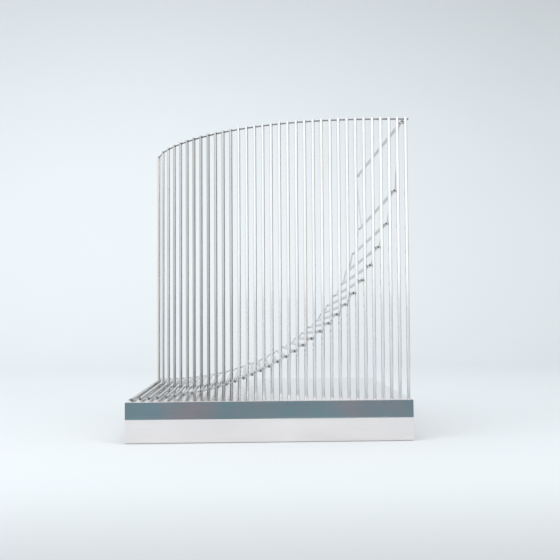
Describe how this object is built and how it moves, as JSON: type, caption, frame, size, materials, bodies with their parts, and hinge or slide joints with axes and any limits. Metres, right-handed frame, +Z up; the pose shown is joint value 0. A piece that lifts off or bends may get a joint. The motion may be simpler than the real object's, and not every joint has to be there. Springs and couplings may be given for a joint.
{
  "type": "magnetic desk sculpture",
  "caption": "Desk sculpture of two interleaved curtains of thin metal tubes strung on cords, upright and lying, on a square mirror-polished block.",
  "frame": {"origin": "centre of the underside of the base block", "axes": "+X to the right, +Y to the back, +Z up; the arm tips face -Y"},
  "size_m": [0.2666, 0.2666, 0.304],
  "materials": {
    "base": "mirror polished",
    "magnets": "plain",
    "uprights": "bright drawn tube",
    "arms": "bright drawn tube",
    "cords": "clear nylon line"
  },
  "bodies": {
    "stand": {"base_block": "base", "socket_magnets": "magnets", "uprights_00_02": "uprights", "uprights_03_05": "uprights", "uprights_06_08": "uprights", "uprights_09_11": "uprights", "uprights_12_14": "uprights", "uprights_15_17": "uprights", "uprights_18_20": "uprights", "uprights_21_23": "uprights", "uprights_24_26": "uprights", "uprights_27_29": "uprights", "uprights_30_32": "uprights", "arm_00": "arms", "top_cord": "cords", "front_cord": "cords", "rear_cord": "cords"},
    "arm_32_body": {"arm_32": "arms"},
    "arm_31_body": {"arm_31": "arms"},
    "arm_30_body": {"arm_30": "arms"},
    "arm_29_body": {"arm_29": "arms"},
    "arm_28_body": {"arm_28": "arms"},
    "arm_27_body": {"arm_27": "arms"},
    "arm_26_body": {"arm_26": "arms"},
    "arm_25_body": {"arm_25": "arms"},
    "arm_24_body": {"arm_24": "arms"},
    "arm_23_body": {"arm_23": "arms"},
    "arm_22_body": {"arm_22": "arms"},
    "arm_21_body": {"arm_21": "arms"},
    "arm_20_body": {"arm_20": "arms"},
    "arm_19_body": {"arm_19": "arms"},
    "arm_18_body": {"arm_18": "arms"},
    "arm_17_body": {"arm_17": "arms"},
    "arm_16_body": {"arm_16": "arms"},
    "arm_15_body": {"arm_15": "arms"},
    "arm_14_body": {"arm_14": "arms"},
    "arm_13_body": {"arm_13": "arms"},
    "arm_12_body": {"arm_12": "arms"},
    "arm_11_body": {"arm_11": "arms"},
    "arm_10_body": {"arm_10": "arms"},
    "arm_09_body": {"arm_09": "arms"},
    "arm_08_body": {"arm_08": "arms"},
    "arm_07_body": {"arm_07": "arms"},
    "arm_06_body": {"arm_06": "arms"},
    "arm_05_body": {"arm_05": "arms"},
    "arm_04_body": {"arm_04": "arms"},
    "arm_03_body": {"arm_03": "arms"},
    "arm_02_body": {"arm_02": "arms"},
    "arm_01_body": {"arm_01": "arms"}
  },
  "joints": [
    {"name": "arm_32_hinge", "type": "hinge", "parent": "stand", "child": "arm_32_body", "pos_m": [0.1264, -0.12455, 0.29957], "axis": [0.999, 0.0439, 0], "range_deg": [-1.2, 2.4], "deforming": ["rear_cord"]},
    {"name": "arm_31_hinge", "type": "hinge", "parent": "stand", "child": "arm_31_body", "pos_m": [0.11846, -0.12455, 0.23345], "axis": [1, 0, 0], "range_deg": [-1.16, 2.32], "deforming": ["rear_cord"]},
    {"name": "arm_30_hinge", "type": "hinge", "parent": "stand", "child": "arm_30_body", "pos_m": [0.11053, -0.12455, 0.20214], "axis": [1, 0, 0], "range_deg": [-1.12, 2.23], "deforming": ["rear_cord"]},
    {"name": "arm_29_hinge", "type": "hinge", "parent": "stand", "child": "arm_29_body", "pos_m": [0.10259, -0.12455, 0.18022], "axis": [1, 0, 0], "range_deg": [-1.07, 2.14], "deforming": ["rear_cord"]},
    {"name": "arm_28_hinge", "type": "hinge", "parent": "stand", "child": "arm_28_body", "pos_m": [0.09465, -0.12455, 0.16309], "axis": [1, 0, 0], "range_deg": [-1.03, 2.06], "deforming": ["rear_cord"]},
    {"name": "arm_27_hinge", "type": "hinge", "parent": "stand", "child": "arm_27_body", "pos_m": [0.08671, -0.12455, 0.14897], "axis": [1, 0, 0], "range_deg": [-0.99, 1.98], "deforming": ["rear_cord"]},
    {"name": "arm_26_hinge", "type": "hinge", "parent": "stand", "child": "arm_26_body", "pos_m": [0.07878, -0.12455, 0.13695], "axis": [1, 0, 0], "range_deg": [-0.95, 1.89], "deforming": ["rear_cord"]},
    {"name": "arm_25_hinge", "type": "hinge", "parent": "stand", "child": "arm_25_body", "pos_m": [0.07084, -0.12845, 0.12649], "axis": [1, 0, 0], "range_deg": [-0.9, 1.81], "deforming": ["rear_cord"]},
    {"name": "arm_24_hinge", "type": "hinge", "parent": "stand", "child": "arm_24_body", "pos_m": [0.0629, -0.12845, 0.11726], "axis": [1, 0, 0], "range_deg": [-0.86, 1.73], "deforming": ["rear_cord"]},
    {"name": "arm_23_hinge", "type": "hinge", "parent": "stand", "child": "arm_23_body", "pos_m": [0.05496, -0.12845, 0.10903], "axis": [1, 0, 0], "range_deg": [-0.82, 1.64], "deforming": ["rear_cord"]},
    {"name": "arm_22_hinge", "type": "hinge", "parent": "stand", "child": "arm_22_body", "pos_m": [0.04703, -0.12845, 0.10164], "axis": [1, 0, 0], "range_deg": [-0.78, 1.56], "deforming": ["rear_cord"]},
    {"name": "arm_21_hinge", "type": "hinge", "parent": "stand", "child": "arm_21_body", "pos_m": [0.03909, -0.12845, 0.09495], "axis": [1, 0, 0], "range_deg": [-0.74, 1.48], "deforming": ["rear_cord"]},
    {"name": "arm_20_hinge", "type": "hinge", "parent": "stand", "child": "arm_20_body", "pos_m": [0.03115, -0.12845, 0.08887], "axis": [1, 0, 0], "range_deg": [-0.7, 1.4], "deforming": ["rear_cord"]},
    {"name": "arm_19_hinge", "type": "hinge", "parent": "stand", "child": "arm_19_body", "pos_m": [0.02321, -0.12845, 0.08334], "axis": [1, 0, 0], "range_deg": [-0.66, 1.32], "deforming": ["rear_cord"]},
    {"name": "arm_18_hinge", "type": "hinge", "parent": "stand", "child": "arm_18_body", "pos_m": [0.01528, -0.12845, 0.07829], "axis": [1, 0, 0], "range_deg": [-0.62, 1.24], "deforming": ["rear_cord"]},
    {"name": "arm_17_hinge", "type": "hinge", "parent": "stand", "child": "arm_17_body", "pos_m": [0.00734, -0.12845, 0.07368], "axis": [1, 0, 0], "range_deg": [-0.58, 1.16], "deforming": ["rear_cord"]},
    {"name": "arm_16_hinge", "type": "hinge", "parent": "stand", "child": "arm_16_body", "pos_m": [-0.0006, -0.12845, 0.06946], "axis": [1, 0, 0], "range_deg": [-0.54, 1.08], "deforming": ["rear_cord"]},
    {"name": "arm_15_hinge", "type": "hinge", "parent": "stand", "child": "arm_15_body", "pos_m": [-0.00854, -0.12845, 0.0656], "axis": [1, 0, 0], "range_deg": [-0.5, 1], "deforming": ["rear_cord"]},
    {"name": "arm_14_hinge", "type": "hinge", "parent": "stand", "child": "arm_14_body", "pos_m": [-0.01647, -0.12845, 0.06208], "axis": [1, 0, 0], "range_deg": [-0.46, 0.93], "deforming": ["rear_cord"]},
    {"name": "arm_13_hinge", "type": "hinge", "parent": "stand", "child": "arm_13_body", "pos_m": [-0.02441, -0.12845, 0.05888], "axis": [1, 0, 0], "range_deg": [-0.43, 0.85], "deforming": ["rear_cord"]},
    {"name": "arm_12_hinge", "type": "hinge", "parent": "stand", "child": "arm_12_body", "pos_m": [-0.03235, -0.12845, 0.05597], "axis": [1, 0, 0], "range_deg": [-0.39, 0.78], "deforming": ["rear_cord"]},
    {"name": "arm_11_hinge", "type": "hinge", "parent": "stand", "child": "arm_11_body", "pos_m": [-0.04029, -0.12845, 0.05334], "axis": [1, 0, 0], "range_deg": [-0.35, 0.7], "deforming": ["rear_cord"]},
    {"name": "arm_10_hinge", "type": "hinge", "parent": "stand", "child": "arm_10_body", "pos_m": [-0.04822, -0.12845, 0.05098], "axis": [1, 0, 0], "range_deg": [-0.3155, 0.6306], "deforming": ["rear_cord"]},
    {"name": "arm_09_hinge", "type": "hinge", "parent": "stand", "child": "arm_09_body", "pos_m": [-0.05616, -0.12845, 0.04887], "axis": [1, 0, 0], "range_deg": [-0.2796, 0.5587], "deforming": ["rear_cord"]},
    {"name": "arm_08_hinge", "type": "hinge", "parent": "stand", "child": "arm_08_body", "pos_m": [-0.0641, -0.12845, 0.04701], "axis": [1, 0, 0], "range_deg": [-0.2442, 0.4879], "deforming": ["rear_cord"]},
    {"name": "arm_07_hinge", "type": "hinge", "parent": "stand", "child": "arm_07_body", "pos_m": [-0.07204, -0.12845, 0.04539], "axis": [1, 0, 0], "range_deg": [-0.2095, 0.4186], "deforming": ["rear_cord"]},
    {"name": "arm_06_hinge", "type": "hinge", "parent": "stand", "child": "arm_06_body", "pos_m": [-0.07997, -0.12845, 0.044], "axis": [1, 0, 0], "range_deg": [-0.1756, 0.3506], "deforming": ["rear_cord"]},
    {"name": "arm_05_hinge", "type": "hinge", "parent": "stand", "child": "arm_05_body", "pos_m": [-0.08791, -0.12845, 0.04285], "axis": [1, 0, 0], "range_deg": [-0.1425, 0.2844], "deforming": ["rear_cord"]},
    {"name": "arm_04_hinge", "type": "hinge", "parent": "stand", "child": "arm_04_body", "pos_m": [-0.09585, -0.12845, 0.04192], "axis": [1, 0, 0], "range_deg": [-0.1103, 0.2202], "deforming": ["rear_cord"]},
    {"name": "arm_03_hinge", "type": "hinge", "parent": "stand", "child": "arm_03_body", "pos_m": [-0.10379, -0.12845, 0.04122], "axis": [1, 0, 0], "range_deg": [-0.0794, 0.1583], "deforming": ["rear_cord"]},
    {"name": "arm_02_hinge", "type": "hinge", "parent": "stand", "child": "arm_02_body", "pos_m": [-0.11172, -0.12845, 0.04076], "axis": [1, 0, 0], "range_deg": [-0.05, 0.0995], "deforming": ["rear_cord"]},
    {"name": "arm_01_hinge", "type": "hinge", "parent": "stand", "child": "arm_01_body", "pos_m": [-0.11966, -0.12845, 0.04053], "axis": [1, 0, 0], "range_deg": [-0.0228, 0.0451], "deforming": ["rear_cord"]}
  ],
  "couplings": [
    {"joint": "arm_31_hinge", "follows": "arm_32_hinge", "ratio": 0.96413},
    {"joint": "arm_30_hinge", "follows": "arm_32_hinge", "ratio": 0.92843},
    {"joint": "arm_29_hinge", "follows": "arm_32_hinge", "ratio": 0.89291},
    {"joint": "arm_28_hinge", "follows": "arm_32_hinge", "ratio": 0.85758},
    {"joint": "arm_27_hinge", "follows": "arm_32_hinge", "ratio": 0.82243},
    {"joint": "arm_26_hinge", "follows": "arm_32_hinge", "ratio": 0.78749},
    {"joint": "arm_25_hinge", "follows": "arm_32_hinge", "ratio": 0.75275},
    {"joint": "arm_24_hinge", "follows": "arm_32_hinge", "ratio": 0.71821},
    {"joint": "arm_23_hinge", "follows": "arm_32_hinge", "ratio": 0.6839},
    {"joint": "arm_22_hinge", "follows": "arm_32_hinge", "ratio": 0.64981},
    {"joint": "arm_21_hinge", "follows": "arm_32_hinge", "ratio": 0.61595},
    {"joint": "arm_20_hinge", "follows": "arm_32_hinge", "ratio": 0.58233},
    {"joint": "arm_19_hinge", "follows": "arm_32_hinge", "ratio": 0.54897},
    {"joint": "arm_18_hinge", "follows": "arm_32_hinge", "ratio": 0.51587},
    {"joint": "arm_17_hinge", "follows": "arm_32_hinge", "ratio": 0.48305},
    {"joint": "arm_16_hinge", "follows": "arm_32_hinge", "ratio": 0.45051},
    {"joint": "arm_15_hinge", "follows": "arm_32_hinge", "ratio": 0.41828},
    {"joint": "arm_14_hinge", "follows": "arm_32_hinge", "ratio": 0.38637},
    {"joint": "arm_13_hinge", "follows": "arm_32_hinge", "ratio": 0.35481},
    {"joint": "arm_12_hinge", "follows": "arm_32_hinge", "ratio": 0.3236},
    {"joint": "arm_11_hinge", "follows": "arm_32_hinge", "ratio": 0.29279},
    {"joint": "arm_10_hinge", "follows": "arm_32_hinge", "ratio": 0.26239},
    {"joint": "arm_09_hinge", "follows": "arm_32_hinge", "ratio": 0.23245},
    {"joint": "arm_08_hinge", "follows": "arm_32_hinge", "ratio": 0.203},
    {"joint": "arm_07_hinge", "follows": "arm_32_hinge", "ratio": 0.1741},
    {"joint": "arm_06_hinge", "follows": "arm_32_hinge", "ratio": 0.14582},
    {"joint": "arm_05_hinge", "follows": "arm_32_hinge", "ratio": 0.11824},
    {"joint": "arm_04_hinge", "follows": "arm_32_hinge", "ratio": 0.09148},
    {"joint": "arm_03_hinge", "follows": "arm_32_hinge", "ratio": 0.06571},
    {"joint": "arm_02_hinge", "follows": "arm_32_hinge", "ratio": 0.04122},
    {"joint": "arm_01_hinge", "follows": "arm_32_hinge", "ratio": 0.01858}
  ]
}
